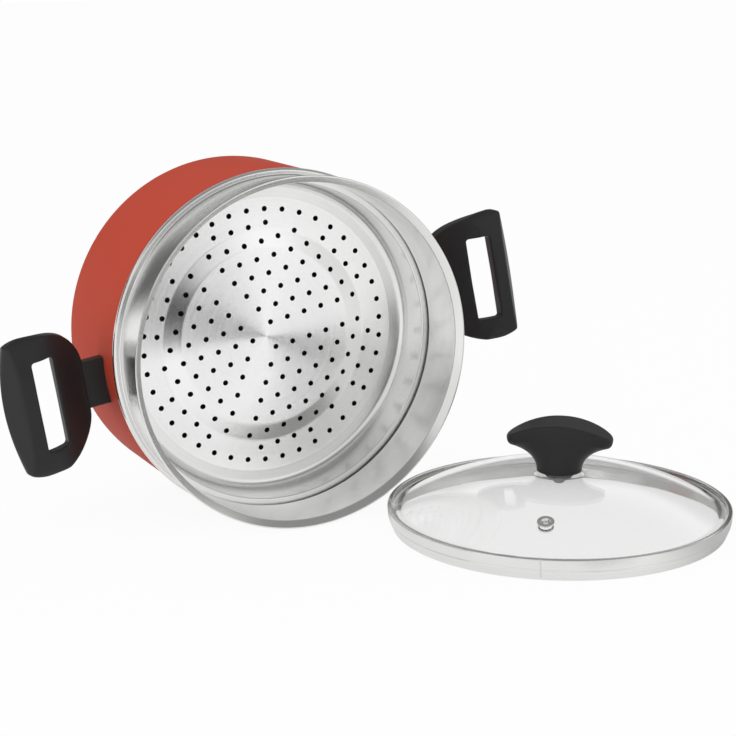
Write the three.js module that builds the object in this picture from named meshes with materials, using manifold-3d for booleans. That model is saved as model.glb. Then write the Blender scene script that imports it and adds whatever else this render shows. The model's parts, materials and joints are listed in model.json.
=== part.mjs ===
// Steamer pot set: a red pot lying on its side, a perforated steamer insert seated in its mouth,
// and the set's glass lid lying flat beside it. Millimetres, +Z up, everything stands on z = 0.
// The pot's own axis is the local +Z of the pot group, which is then laid down towards -Y.
import * as THREE from 'three';
import { mergeGeometries, mergeVertices } from 'three/addons/utils/BufferGeometryUtils.js';
import Module from 'manifold-3d';

const wasm = await Module();
wasm.setup();

// Fits
const seatGap = 0.3;          // between pieces that seat on each other
const screwClearance = 0.3;   // round a screw in its hole, on the radius
const overcut = 1;            // how far a cutting tool runs past the face it cuts
const weldDistance = 1e-4;    // corners nearer than this are one corner

// Pot
const potRadius = 125;        // outside
const potWall = 2.5;
const potFloor = 4;
const potHeight = 104;        // outside, to the rim
const potCorner = 12;         // outside round between wall and floor

// Steamer insert, one pressing
const sheet = 1;
const basketClearance = 6.5;  // between the basket's wall and the inside of the pot
const basketDraft = 1.5;      // how much the basket narrows towards its floor
const basketDepth = 26;       // from the bead's seat down to the top of the perforated floor
const basketCorner = 8;       // inside round between basket wall and floor
const beadOverhang = 1.1;     // how far the bead stands out past the pot's wall
const beadHeight = 5;
const beadMouth = 2.4;        // open gap of the folded bead, seen from inside
const collarStep = 4.3;       // how far the collar stands out past the basket's wall
const collarHeight = 39.5;    // from the bead up to the foot of the lip
const lipFlare = 4.4;         // how far the lip leans out
const lipRise = 4.4;
const lipBead = 2;            // thickness of the turned edge of the lip
const embossRadius = 74;      // middle of the raised ring in the floor
const embossWidth = 12;
const embossHeight = 1.4;
const embossSlope = 2.5;      // width of each sloping flank of the ring

// Perforation of the insert's floor
const holeDiameter = 4;
const holeSides = 6;
const ringRadius = 93.6;      // the outer circle of holes
const ringHoles = 42;
const ringTurn = 3;           // degrees
const sectorCount = 3;        // fans of triangular lattice inside that circle
const sectorTurn = 71.5;      // degrees
const latticePitch = 13.8;
const latticeStart = 11.1;    // first hole of each fan, from the centre
const latticeMargin = 8.6;    // bare band left inside the outer circle

// Handles, two alike and a little short of opposite each other
const rightRoll = 10.4;       // degrees, right handle above the level of the pot's axis
const leftRoll = 8.5;         // degrees, left handle below that level
const gripRise = 5;           // from the pot's rim up to the grip's upper face
const gripThickness = 9.5;    // of the loop, along the pot's axis
const gripLength = 100.4;
const gripReach = 71.7;       // from the wall to the ends of the outer edge
const gripBow = 5.6;          // bow of the outer edge past its ends
const gripTaper = 4.5;        // how much the grip narrows at each end of the outer edge
const gripSkirt = 18.2;       // how deep the outer edge reaches below the upper face
const crownFlat = 30;         // level middle of the upper face, along the grip
const crownDrop = 9;          // how far the upper face falls away at the grip's ends
const quarterEase = 0.5523;   // control length of a quarter ellipse, as a share of its half axis
const bellyReach = 14.5;      // from the wall to the round inner side
const bellyStart = 59;        // from the wall to where the round inner side begins
const bellyEase = 8.5;        // how far the round inner side's corners are eased
const slotStart = 39.5;       // from the wall to the finger slot
const slotWidth = 16.5;
const slotLength = 64;
const slotCorner = 2.5;
const ridgeInset = 5.7;       // the slanted outer face starts this far inside the edge's ends
const slantDrop = 17;         // how deep the slanted outer face reaches at the bow
const stubWidth = 34;
const stubThickness = 11;
const stubDrop = 26.5;        // from the grip's upper face down to the stub's
const stubRoot = 2;           // how far the stub runs on into the grip
const sweepStart = 14;        // from the wall to where the stub starts to rise
const sweepEnd = 59;          // from the wall to where the loop is level
const sweepFoot = 11;         // ease of the sweep at the stub
const sweepHead = 20;         // ease of the sweep at the grip

// Handle fixings
const plateThickness = 2.5;   // welded plate of the handle bracket
const plateWidth = 24;
const plateHeight = 7.5;
const tongueThickness = 3;
const tongueWidth = 20;
const tongueReach = 15.5;     // from the wall
const handleScrewReach = 9.5; // from the wall to the screw
const handleScrewDiameter = 4;
const handleHeadDiameter = 8;
const handleHeadHeight = 2.4;
const handleWasherThickness = 1;
const handleScrewTip = 1.2;   // how far the screw stands past the tongue

// Lid
const lidClearance = 1.4;     // between the lid's foot and the collar
const bandOverhang = 3.7;     // how far the band's top stands out past its foot
const bandHeight = 15.5;
const bandSheet = 1;
const bandWaist = 7.6;        // height of the crease round the band
const bandWaistInset = 0.6;   // how far the crease lies inside the top edge
const bandLip = 3;            // lip over the edge of the glass
const ledgeWidth = 4;         // ledge under the edge of the glass
const glassThickness = 4;
const glassFlat = 6.5;        // flat edge of the glass, held in the band
const domeRise = 25.4;
const landMargin = 1;         // flat land of the glass past the knob's foot and the seal
const lidAhead = 72.4;        // from the pot's mouth to the lid's centre, along the pot's axis
const lidGap = 5.2;           // between the band and the lip of the insert

// Steam vent
const ventRadius = 84;        // from the lid's centre
const ventTurn = -128;        // degrees
const ventFlange = 6;         // radius
const ventFlangeHeight = 1.2;
const ventBarrel = 3.4;       // radius
const ventBore = 2.2;         // radius
const ventWasherRadius = 5.4;
const ventWasherHeight = 1;

// Knob and its fixings
const knobTurn = -38;         // degrees
const knobWidth = 75.5;
const knobHeight = 36;
const knobTipHeight = 23.5;   // height of the two tips above the glass
const knobTipRound = 3;
const knobTipEase = 1;        // fullness of the tips' rounds
const knobUnder = 18;         // height of the underside near the tips
const knobNeck = 8;           // height up to which the stem stays nearly upright
const knobSpread = 6;         // how far past the stem the underside starts to level off
const knobDepth = 32;
const knobPlanLength = 92;    // length of the ellipse that the knob is cut from, in plan
const knobStem = 32;          // width at the glass
const insertRadius = 4.6;     // threaded insert in the knob
const insertHeight = 12;
const insertLift = 2;         // from the knob's foot to the insert
const knobScrewDiameter = 4.6;
const knobHeadRadius = 4.6;
const knobHeadHeight = 2.8;
const knobHeadCrown = 3.2;    // radius of the flat on the screw's head
const knobWasherRadius = 9;
const knobWasherHeight = 1.2;
const sealRadius = 10.5;
const sealHeight = 1.5;
const glassBoreClearance = 1.2; // round a screw or barrel in the glass, on the radius

// Smoothness
const roundSides = 48;
const smallSides = 16;
const curveSteps = 6;
const cornerSteps = 4;
const outlineSteps = 8;
const domeSteps = 6;

// Values that follow from the sizes above
const degrees = Math.PI / 180;
const potInside = potRadius - potWall;
const basketRadius = potInside - basketClearance;
const beadRadius = potRadius + beadOverhang;
const collarRadius = basketRadius + collarStep;
const seatHeight = potHeight + seatGap;
const insertFloor = seatHeight - basketDepth;
const beadTop = seatHeight + beadHeight;
const lipFoot = beadTop + collarHeight;
const mouthHeight = lipFoot + lipRise;
const lipRadius = collarRadius + lipFlare + sheet;
const lidFoot = collarRadius - lidClearance;
const lidRadius = lidFoot + bandOverhang;
const leanAt = (radius, height) => Math.atan2(radius - potRadius, height - potCorner);
const lean = Math.max(leanAt(beadRadius, seatHeight + beadHeight / 2), leanAt(lipRadius, mouthHeight));

// Materials
const finish = (color, roughness, metalness) =>
  new THREE.MeshStandardMaterial({ color, roughness, metalness });
const redPaint = finish(0xc24a3e, 0.4, 0.1);
const polishedSteel = finish(0xd4d4d2, 0.22, 1);
const plainSteel = finish(0xa9abad, 0.35, 1);
const blackBakelite = finish(0x232324, 0.45, 0);
const clearGlass = new THREE.MeshStandardMaterial({
  color: 0xe8eeec, roughness: 0.05, metalness: 0, transparent: true, opacity: 0.35 });
const brass = finish(0xb08d4a, 0.35, 1);
const greySilicone = finish(0x8b8d8e, 0.7, 0);

// Joins equal corners and drops the empty triangles that a lathe leaves on its axis.
function weld(geometry) {
  const bare = geometry.clone();
  bare.deleteAttribute('normal');
  bare.deleteAttribute('uv');
  const merged = mergeVertices(bare, weldDistance);
  const index = merged.index.array;
  const kept = [];
  for (let i = 0; i < index.length; i += 3) {
    const [a, b, c] = [index[i], index[i + 1], index[i + 2]];
    if (a !== b && b !== c && c !== a) kept.push(a, b, c);
  }
  merged.setIndex(kept);
  return merged;
}

function toSolid(geometry) {
  const merged = weld(geometry);
  const vertProperties = new Float32Array(merged.attributes.position.array);
  const triVerts = new Uint32Array(merged.index.array);
  return new wasm.Manifold(new wasm.Mesh({ numProp: 3, vertProperties, triVerts }));
}

function toGeometry(solid) {
  const mesh = solid.getMesh();
  const geometry = new THREE.BufferGeometry();
  geometry.setAttribute('position', new THREE.BufferAttribute(new Float32Array(mesh.vertProperties), 3));
  geometry.setIndex(new THREE.BufferAttribute(new Uint32Array(mesh.triVerts), 1));
  geometry.computeVertexNormals();
  return geometry;
}

const cut = (geometry, ...tools) =>
  toGeometry(tools.reduce((solid, tool) => solid.subtract(toSolid(tool)), toSolid(geometry)));
const join = (geometry, ...others) =>
  toGeometry(others.reduce((solid, other) => solid.add(toSolid(other)), toSolid(geometry)));
const common = (geometry, other) => toGeometry(toSolid(geometry).intersect(toSolid(other)));

// A body of revolution about Z. The outline runs up on the outside and down on the inside.
function spin(outline, sides = roundSides) {
  const points = outline.map(([radius, height]) => new THREE.Vector2(radius, height));
  return weld(new THREE.LatheGeometry(points, sides)).rotateX(Math.PI / 2);
}

function ringOutline(inner, outer, low, high) {
  return [[inner, low], [outer, low], [outer, high], [inner, high], [inner, low]];
}

function rod(radius, low, high, sides = smallSides) {
  return spin([[0, low], [radius, low], [radius, high], [0, high]], sides);
}

function block(x0, x1, y0, y1, z0, z1) {
  const box = new THREE.BoxGeometry(x1 - x0, y1 - y0, z1 - z0);
  return box.translate((x0 + x1) / 2, (y0 + y1) / 2, (z0 + z1) / 2);
}

// Points of a quarter round from angle a0 to a1 (degrees) about a centre.
function arc(centreRadius, centreHeight, round, a0, a1, steps = curveSteps) {
  return Array.from({ length: steps + 1 }, (_, i) => {
    const angle = (a0 + (a1 - a0) * i / steps) * degrees;
    return [centreRadius + round * Math.cos(angle), centreHeight + round * Math.sin(angle)];
  });
}

function part(parent, name, geometry, material) {
  const mesh = new THREE.Mesh(geometry, material);
  mesh.name = name;
  parent.add(mesh);
  return mesh;
}

// Pot
function potGeometry() {
  const inside = potCorner - potWall;
  return spin([
    [0, 0],
    ...arc(potRadius - potCorner, potCorner, potCorner, -90, 0),
    [potRadius, potHeight],
    [potInside, potHeight],
    ...arc(potInside - inside, potFloor + inside, inside, 0, -90),
    [0, potFloor],
  ]);
}

// Height of the raised ring in the insert's floor, as a list of corners going outwards.
function embossCorners(base) {
  const half = embossWidth / 2;
  return [
    [embossRadius - half - embossSlope, base],
    [embossRadius - half, base + embossHeight],
    [embossRadius + half, base + embossHeight],
    [embossRadius + half + embossSlope, base],
  ];
}

// Insert: the outside of the sheet from the floor up to the lip, then the inside back down.
function insertOutline() {
  const floorRadius = basketRadius - basketDraft;
  const floorCentre = floorRadius - basketCorner;
  const roundTop = insertFloor + basketCorner;
  const foldLow = seatHeight + (beadHeight - beadMouth) / 2;
  const foldHigh = foldLow + beadMouth;
  const foldDepth = beadRadius - sheet;
  const edgeHeight = mouthHeight - lipBead;
  return [
    [0, insertFloor - sheet],
    ...embossCorners(insertFloor - sheet),
    ...arc(floorCentre, roundTop, basketCorner + sheet, -90, 0, cornerSteps),
    [basketRadius + sheet, seatHeight],
    [beadRadius - sheet, seatHeight],
    [beadRadius, seatHeight + sheet],
    [beadRadius, beadTop - sheet],
    [beadRadius - sheet, beadTop],
    [collarRadius + sheet, beadTop],
    [collarRadius + sheet, lipFoot],
    [lipRadius - sheet, edgeHeight],
    [lipRadius, edgeHeight + sheet / 2],
    [lipRadius, mouthHeight - sheet / 2],
    [lipRadius - sheet, mouthHeight],
    [collarRadius, lipFoot],
    [collarRadius, foldHigh],
    [foldDepth, foldHigh],
    [foldDepth, foldLow],
    [basketRadius, foldLow],
    ...arc(floorCentre, roundTop, basketCorner, 0, -90, cornerSteps),
    ...embossCorners(insertFloor).reverse(),
    [0, insertFloor],
  ];
}

// Hole centres: one full circle, and fans of a triangular lattice whose two directions run along
// the fan's own sides.
function holeCentres() {
  const centres = [];
  for (let i = 0; i < ringHoles; i += 1) {
    const angle = ringTurn * degrees + 2 * Math.PI * i / ringHoles;
    centres.push([ringRadius * Math.cos(angle), ringRadius * Math.sin(angle)]);
  }
  const limit = ringRadius - latticeMargin;
  const halfFan = Math.PI / sectorCount;
  const rows = Math.ceil(2 * limit / latticePitch);
  for (let fan = 0; fan < sectorCount; fan += 1) {
    const middle = sectorTurn * degrees + 2 * Math.PI * fan / sectorCount;
    for (let i = 0; i < rows; i += 1) {
      for (let j = 0; j < rows; j += 1) {
        const along = latticeStart + (i + j) * latticePitch * Math.cos(halfFan);
        const across = (i - j) * latticePitch * Math.sin(halfFan);
        const angle = middle + Math.atan2(across, along);
        const radius = Math.hypot(along, across);
        if (radius <= limit) centres.push([radius * Math.cos(angle), radius * Math.sin(angle)]);
      }
    }
  }
  return centres;
}

function insertGeometry() {
  const low = insertFloor - 2 * sheet;
  const high = insertFloor + embossHeight + 2 * sheet;
  const punches = holeCentres().map(([x, y]) =>
    rod(holeDiameter / 2, low, high, holeSides).translate(x, y, 0));
  return cut(spin(insertOutline()), mergeGeometries(punches));
}

// Handle, in its own frame: X out from the pot's axis, Y along the grip, Z = 0 at the upper face.
const at = (reach) => potRadius + reach;
const stubHigh = -stubDrop;
const stubLow = stubHigh - stubThickness;
const tongueMiddle = (stubLow + stubHigh) / 2;
const tongueLow = tongueMiddle - tongueThickness / 2;
const tongueHigh = tongueMiddle + tongueThickness / 2;
const headSeat = stubLow + handleHeadHeight + handleWasherThickness + seatGap;
const headRecess = handleHeadDiameter / 2 + screwClearance;

function gripShape() {
  const half = gripLength / 2;
  const [edge, belly, start] = [at(gripReach), at(bellyReach), at(bellyStart)];
  const middle = (belly + start) / 2;
  const stub = stubWidth / 2;
  const shape = new THREE.Shape();
  shape.moveTo(belly, -stub);
  shape.bezierCurveTo(belly, -half + 2 * bellyEase, middle - bellyEase, -half, start, -half);
  shape.quadraticCurveTo((start + edge) / 2, -half, edge, -half + gripTaper);
  shape.quadraticCurveTo(edge + 2 * gripBow, 0, edge, half - gripTaper);
  shape.quadraticCurveTo((start + edge) / 2, half, start, half);
  shape.bezierCurveTo(middle - bellyEase, half, belly, half - 2 * bellyEase, belly, stub);
  shape.closePath();
  shape.holes.push(slotPath());
  return shape;
}

function slotPath() {
  const [x0, x1, y] = [at(slotStart), at(slotStart + slotWidth), slotLength / 2];
  const path = new THREE.Path();
  path.moveTo(x0, -y + slotCorner);
  path.lineTo(x0, y - slotCorner);
  path.quadraticCurveTo(x0, y, x0 + slotCorner, y);
  path.lineTo(x1 - slotCorner, y);
  path.quadraticCurveTo(x1, y, x1, y - slotCorner);
  path.lineTo(x1, -y + slotCorner);
  path.quadraticCurveTo(x1, -y, x1 - slotCorner, -y);
  path.lineTo(x0 + slotCorner, -y);
  path.quadraticCurveTo(x0, -y, x0, -y + slotCorner);
  return path;
}

// Section across the grip: the level stub sweeps up to the level loop, whose outer edge hangs lower.
function sectionShape() {
  const [root, start, end] = [potRadius - potWall, at(sweepStart), at(sweepEnd)];
  const far = at(gripReach + gripBow) + overcut;
  const shape = new THREE.Shape();
  shape.moveTo(root, stubHigh);
  shape.lineTo(root, stubLow);
  shape.lineTo(start, stubLow);
  shape.bezierCurveTo(start + sweepFoot, stubLow, end - sweepHead, -gripThickness, end, -gripThickness);
  shape.lineTo(far, -gripSkirt);
  shape.lineTo(far, 0);
  shape.lineTo(end, 0);
  shape.bezierCurveTo(end - sweepHead, 0, start + sweepFoot, stubHigh, start, stubHigh);
  shape.closePath();
  return shape;
}

// Draws a shape in X and Z and gives it twice the grip's length along Y.
function acrossGrip(shape) {
  const options = { depth: 2 * gripLength, bevelEnabled: false, curveSegments: outlineSteps };
  return new THREE.ExtrudeGeometry(shape, options).rotateX(Math.PI / 2).translate(0, gripLength, 0);
}

// Section along the grip, in Y and Z: level in the middle, with a quarter ellipse at both ends.
function crownBody() {
  const [half, level, low] = [gripLength / 2 + seatGap, crownFlat / 2, stubLow - overcut];
  const ease = level + (half - level) * quarterEase;
  const high = -crownDrop * (1 - quarterEase);
  const shape = new THREE.Shape();
  shape.moveTo(-half, low);
  shape.lineTo(half, low);
  shape.lineTo(half, -crownDrop);
  shape.bezierCurveTo(half, high, ease, 0, level, 0);
  shape.lineTo(-level, 0);
  shape.bezierCurveTo(-ease, 0, -half, high, -half, -crownDrop);
  shape.closePath();
  const depth = at(gripReach + gripBow) + 2 * overcut;
  const options = { depth, bevelEnabled: false, curveSegments: outlineSteps };
  return new THREE.ExtrudeGeometry(shape, options).rotateX(Math.PI / 2).rotateZ(Math.PI / 2);
}

// The wedge that slants the grip's outer face, from a straight ridge on the upper face to the bow.
function slantWedge() {
  const ridge = at(gripReach - ridgeInset);
  const crown = at(gripReach + gripBow);
  const past = gripSkirt;
  const lift = past * slantDrop / (crown - ridge);
  const shape = new THREE.Shape();
  shape.moveTo(ridge - past, lift);
  shape.lineTo(crown + past, -slantDrop - lift);
  shape.lineTo(crown + past, lift);
  shape.closePath();
  return acrossGrip(shape);
}

// The pot's wall and its gap, which the stub and the bracket are fitted to.
function wallCutter() {
  const radius = (potRadius + seatGap) / Math.cos(Math.PI / roundSides);
  return rod(radius, stubLow - overcut, overcut, roundSides);
}

function gripGeometry() {
  const [low, high] = [stubLow - overcut, overcut];
  const options = { depth: high - low, bevelEnabled: false, curveSegments: outlineSteps };
  const loop = new THREE.ExtrudeGeometry(gripShape(), options).translate(0, 0, low);
  const stub = block(potRadius - potWall, at(bellyReach + stubRoot), -stubWidth / 2, stubWidth / 2,
    low, high);
  const body = common(common(join(loop, stub), acrossGrip(sectionShape())), crownBody());
  const platePocket = block(potRadius - potWall, at(plateThickness + 2 * seatGap),
    -plateWidth / 2 - seatGap, plateWidth / 2 + seatGap,
    tongueMiddle - plateHeight / 2 - seatGap, tongueMiddle + plateHeight / 2 + seatGap);
  const tonguePocket = block(potRadius, at(tongueReach + seatGap),
    -tongueWidth / 2 - seatGap, tongueWidth / 2 + seatGap, tongueLow - seatGap, tongueHigh + seatGap);
  const screwX = at(handleScrewReach);
  const bore = rod(handleScrewDiameter / 2 + screwClearance, stubLow - overcut,
    tongueHigh + handleScrewTip + seatGap).translate(screwX, 0, 0);
  const recess = rod(headRecess, stubLow - overcut, headSeat).translate(screwX, 0, 0);
  return cut(body, slantWedge(), wallCutter(), platePocket, tonguePocket, bore, recess);
}

function bracketGeometry() {
  const plate = block(potRadius - potWall, at(plateThickness + seatGap), -plateWidth / 2, plateWidth / 2,
    tongueMiddle - plateHeight / 2, tongueMiddle + plateHeight / 2);
  const tongue = block(at(plateThickness), at(tongueReach), -tongueWidth / 2, tongueWidth / 2,
    tongueLow, tongueHigh);
  const thread = rod(handleScrewDiameter / 2 + screwClearance, tongueLow - overcut, tongueHigh + overcut)
    .translate(at(handleScrewReach), 0, 0);
  return cut(join(plate, tongue), wallCutter(), thread);
}

function handleWasherGeometry() {
  const high = headSeat - seatGap;
  const inner = handleScrewDiameter / 2 + screwClearance;
  return spin(ringOutline(inner, handleHeadDiameter / 2, high - handleWasherThickness, high), smallSides)
    .translate(at(handleScrewReach), 0, 0);
}

function handleScrewGeometry() {
  const headTop = headSeat - seatGap - handleWasherThickness - seatGap;
  const headLow = headTop - handleHeadHeight + seatGap;
  const shank = handleScrewDiameter / 2;
  return spin([
    [0, headLow],
    [handleHeadDiameter / 2, headLow],
    [handleHeadDiameter / 2, headTop],
    [shank, headTop],
    [shank, tongueHigh + handleScrewTip],
    [0, tongueHigh + handleScrewTip],
  ], smallSides).translate(at(handleScrewReach), 0, 0);
}

// Lid, in its own frame: Z = 0 is the surface it lies on, the knob points up.
const glassEdge = lidRadius - bandWaistInset - bandSheet - seatGap;
const glassTop = bandHeight - bandSheet - seatGap;
const domeRadius = glassEdge - glassFlat;
const land = Math.max(knobStem / 2, sealRadius) + landMargin;
const domeSpan = domeRadius - land;
const domeAt = (radius) => glassTop + domeRise * (1 - (Math.max(radius - land, 0) / domeSpan) ** 2);
const apex = domeAt(0);
const knobBore = knobScrewDiameter / 2 + glassBoreClearance;
const ventHole = ventBarrel + glassBoreClearance;

function glassGeometry() {
  const steps = Array.from({ length: domeSteps + 1 }, (_, i) => land + domeSpan * i / domeSteps);
  const rings = [knobBore, ...steps];
  const under = rings.map((radius) => [radius, domeAt(radius) - glassThickness]);
  const over = rings.map((radius) => [radius, domeAt(radius)]).reverse();
  const dome = spin([
    ...under,
    [glassEdge, glassTop - glassThickness],
    [glassEdge, glassTop],
    ...over,
    under[0],
  ]);
  return cut(dome, onDome(rod(ventHole, -3 * glassThickness, 2 * glassThickness)));
}

// Stands a shape made about Z on the dome, square to the glass at the vent's place.
function onDome(geometry) {
  const slope = Math.atan(2 * domeRise * (ventRadius - land) / domeSpan ** 2);
  return geometry.rotateY(slope).translate(ventRadius, 0, domeAt(ventRadius)).rotateZ(ventTurn * degrees);
}

function bandGeometry() {
  const waist = lidRadius - bandWaistInset;
  const ledgeTop = glassTop - glassThickness - seatGap;
  const ledgeLow = ledgeTop - bandSheet;
  const slope = (waist - lidFoot) / bandWaist;
  const skirt = (height) => lidFoot - bandSheet + slope * Math.min(height, bandWaist);
  return spin([
    [lidFoot - bandSheet, 0],
    [lidFoot, 0],
    [waist, bandWaist],
    [lidRadius, bandHeight - bandSheet],
    [lidRadius - bandSheet / 2, bandHeight],
    [lidRadius - bandLip, bandHeight],
    [lidRadius - bandLip, bandHeight - bandSheet],
    [lidRadius - bandSheet, bandHeight - bandSheet],
    [waist - bandSheet, ledgeTop],
    [skirt(ledgeTop) - ledgeWidth, ledgeTop],
    [skirt(ledgeLow) - ledgeWidth, ledgeLow],
    [skirt(ledgeLow), ledgeLow],
    [lidFoot - bandSheet, 0],
  ]);
}

function ventEyeletGeometry() {
  const foot = -glassThickness - ventWasherHeight - 2 * seatGap;
  const rise = 2 * seatGap;
  return onDome(spin([
    [ventBore, foot],
    [ventBarrel, foot],
    [ventBarrel, rise],
    [ventFlange, rise],
    [ventFlange - ventFlangeHeight / 2, rise + ventFlangeHeight],
    [ventBore + ventFlangeHeight / 2, rise + ventFlangeHeight],
    [ventBore, rise],
    [ventBore, foot],
  ], smallSides));
}

function ventWasherGeometry() {
  const high = -glassThickness - seatGap;
  const inner = ventBarrel + seatGap;
  return onDome(spin(ringOutline(inner, ventWasherRadius, high - ventWasherHeight, high), smallSides));
}

// Front outline of the knob: an arched top between two rounded tips, and straight sides below them.
function knobShape() {
  const tip = knobWidth / 2;
  const archFoot = knobTipHeight + knobTipRound;
  const shape = new THREE.Shape();
  shape.moveTo(-tip, -overcut);
  shape.lineTo(tip, -overcut);
  shape.lineTo(tip, knobTipHeight);
  shape.quadraticCurveTo(tip, knobTipHeight + knobTipEase, tip - knobTipRound, archFoot);
  shape.quadraticCurveTo(0, 2 * knobHeight - archFoot, knobTipRound - tip, archFoot);
  shape.quadraticCurveTo(-tip, knobTipHeight + knobTipEase, -tip, knobTipHeight);
  shape.closePath();
  return shape;
}

// The turned underside of the knob: a round stem that spreads out to the tips.
function knobFlare() {
  const [stem, tip, far] = [knobStem / 2, knobWidth / 2, knobPlanLength / 2];
  const path = new THREE.Path();
  path.moveTo(stem, 0);
  path.bezierCurveTo(stem, knobNeck, stem + knobSpread, knobUnder - knobTipRound,
    tip - knobTipRound, knobUnder);
  path.quadraticCurveTo(tip, knobUnder + knobTipEase, tip, knobTipHeight);
  const side = path.getPoints(outlineSteps).map(({ x, y }) => [x, y]);
  return spin([[0, 0], ...side, [far, knobTipHeight], [far, 2 * knobHeight], [0, 2 * knobHeight]]);
}

const knobFoot = apex + seatGap;
const knobScrewTop = knobFoot + insertLift + insertHeight;
const sealTop = apex - glassThickness - seatGap;
const sealLow = sealTop - sealHeight;
const knobWasherTop = sealLow - seatGap;
const knobWasherLow = knobWasherTop - knobWasherHeight;

function knobGeometry() {
  const options = { depth: 2 * knobDepth, bevelEnabled: false, curveSegments: outlineSteps };
  const front = new THREE.ExtrudeGeometry(knobShape(), options).rotateX(Math.PI / 2)
    .translate(0, knobDepth, knobFoot);
  const plan = rod(1, knobFoot - overcut, knobFoot + 2 * knobHeight, roundSides)
    .scale(knobPlanLength / 2, knobDepth / 2, 1);
  const pocket = rod(insertRadius + seatGap, knobFoot - overcut, knobScrewTop + 2 * seatGap);
  const flare = knobFlare().translate(0, 0, knobFoot);
  return cut(common(common(front, plan), flare), pocket).rotateZ(knobTurn * degrees);
}

function knobInsertGeometry() {
  const low = knobFoot + insertLift;
  const bore = knobScrewDiameter / 2 + screwClearance;
  return spin(ringOutline(bore, insertRadius, low, low + insertHeight), smallSides);
}

function knobScrewGeometry() {
  const headTop = knobWasherLow - seatGap;
  const headLow = headTop - knobHeadHeight;
  const shank = knobScrewDiameter / 2;
  return spin([
    [0, headLow],
    [knobHeadCrown, headLow],
    [knobHeadRadius, headLow + knobHeadHeight / 2],
    [knobHeadRadius, headTop],
    [shank, headTop],
    [shank, knobScrewTop],
    [0, knobScrewTop],
  ], smallSides);
}

// Assembly: pot, handles and insert share the pot's own axis.
const pot = new THREE.Group();
part(pot, 'pot_body', potGeometry(), redPaint);
part(pot, 'steamer_insert', insertGeometry(), polishedSteel);
const sides = { right: rightRoll, left: 180 + leftRoll };
for (const [side, turn] of Object.entries(sides)) {
  const handle = new THREE.Group();
  part(handle, `${side}_handle_grip`, gripGeometry(), blackBakelite);
  part(handle, `${side}_handle_bracket`, bracketGeometry(), plainSteel);
  part(handle, `${side}_handle_washer`, handleWasherGeometry(), plainSteel);
  part(handle, `${side}_handle_screw`, handleScrewGeometry(), plainSteel);
  handle.position.z = potHeight + gripRise;
  handle.rotation.z = turn * degrees;
  pot.add(handle);
}

const lid = new THREE.Group();
const screwRing = knobScrewDiameter / 2 + screwClearance;
part(lid, 'lid_glass', glassGeometry(), clearGlass);
part(lid, 'lid_rim_band', bandGeometry(), polishedSteel);
part(lid, 'steam_vent_eyelet', ventEyeletGeometry(), plainSteel);
part(lid, 'steam_vent_washer', ventWasherGeometry(), plainSteel);
part(lid, 'lid_knob', knobGeometry(), blackBakelite);
part(lid, 'knob_threaded_insert', knobInsertGeometry(), brass);
part(lid, 'knob_seal', spin(ringOutline(screwRing, sealRadius, sealLow, sealTop), smallSides), greySilicone);
part(lid, 'knob_washer',
  spin(ringOutline(screwRing, knobWasherRadius, knobWasherLow, knobWasherTop), smallSides), plainSteel);
part(lid, 'knob_screw', knobScrewGeometry(), plainSteel);

// The pot lies on its bead and its lower corner; the lid lies just clear of the insert's lip.
pot.rotation.x = Math.PI / 2 - lean;
pot.position.z = -new THREE.Box3().setFromObject(pot, true).min.z;
pot.updateMatrixWorld(true);
const mouth = pot.localToWorld(new THREE.Vector3(0, 0, mouthHeight));
const lipHalfWidth = Math.sqrt(lipRadius ** 2 - (mouth.z - bandHeight) ** 2);
const lidHalfChord = Math.sqrt(lidRadius ** 2 - lidAhead ** 2);
lid.position.set(lipHalfWidth + lidGap + lidHalfChord, mouth.y - lidAhead, 0);

const steamerPot = new THREE.Group();
steamerPot.add(pot, lid);
const box = new THREE.Box3().setFromObject(steamerPot, true);
const centre = box.getCenter(new THREE.Vector3());
steamerPot.position.set(-centre.x, -centre.y, -box.min.z);
steamerPot.updateMatrixWorld(true);

export default steamerPot;
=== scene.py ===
"""A steamer pot set: a red pot on its side, a steel insert in its mouth and a glass lid."""
import json
import math

import bmesh
import bpy
import numpy as np
from bpy.props import FloatProperty, FloatVectorProperty, IntProperty, PointerProperty
from mathutils import Matrix, Vector, geometry


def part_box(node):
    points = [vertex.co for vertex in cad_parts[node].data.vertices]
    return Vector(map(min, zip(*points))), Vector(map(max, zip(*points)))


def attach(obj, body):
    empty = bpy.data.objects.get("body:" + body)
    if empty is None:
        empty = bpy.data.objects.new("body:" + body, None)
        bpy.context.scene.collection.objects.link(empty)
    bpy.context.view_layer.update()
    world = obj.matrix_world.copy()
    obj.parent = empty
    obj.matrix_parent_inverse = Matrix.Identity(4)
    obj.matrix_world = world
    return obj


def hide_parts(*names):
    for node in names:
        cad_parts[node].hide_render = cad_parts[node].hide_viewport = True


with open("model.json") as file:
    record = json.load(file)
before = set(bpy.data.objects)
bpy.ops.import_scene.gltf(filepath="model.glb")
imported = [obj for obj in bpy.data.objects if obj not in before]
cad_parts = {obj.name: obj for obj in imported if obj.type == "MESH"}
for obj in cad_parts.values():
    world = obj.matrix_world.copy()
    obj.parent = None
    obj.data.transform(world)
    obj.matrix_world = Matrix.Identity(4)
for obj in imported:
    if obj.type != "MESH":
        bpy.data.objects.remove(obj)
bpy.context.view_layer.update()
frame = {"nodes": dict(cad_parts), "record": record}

bl_info = {
    "name": "Steamer pot",
    "version": (1, 0, 0),
    "blender": (4, 5, 0),
    "location": "View3D > Sidebar > Steamer pot",
    "description": "Builds a pot, its steamer insert and its glass lid over a packed frame",
    "category": "Add Mesh",
}

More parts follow.
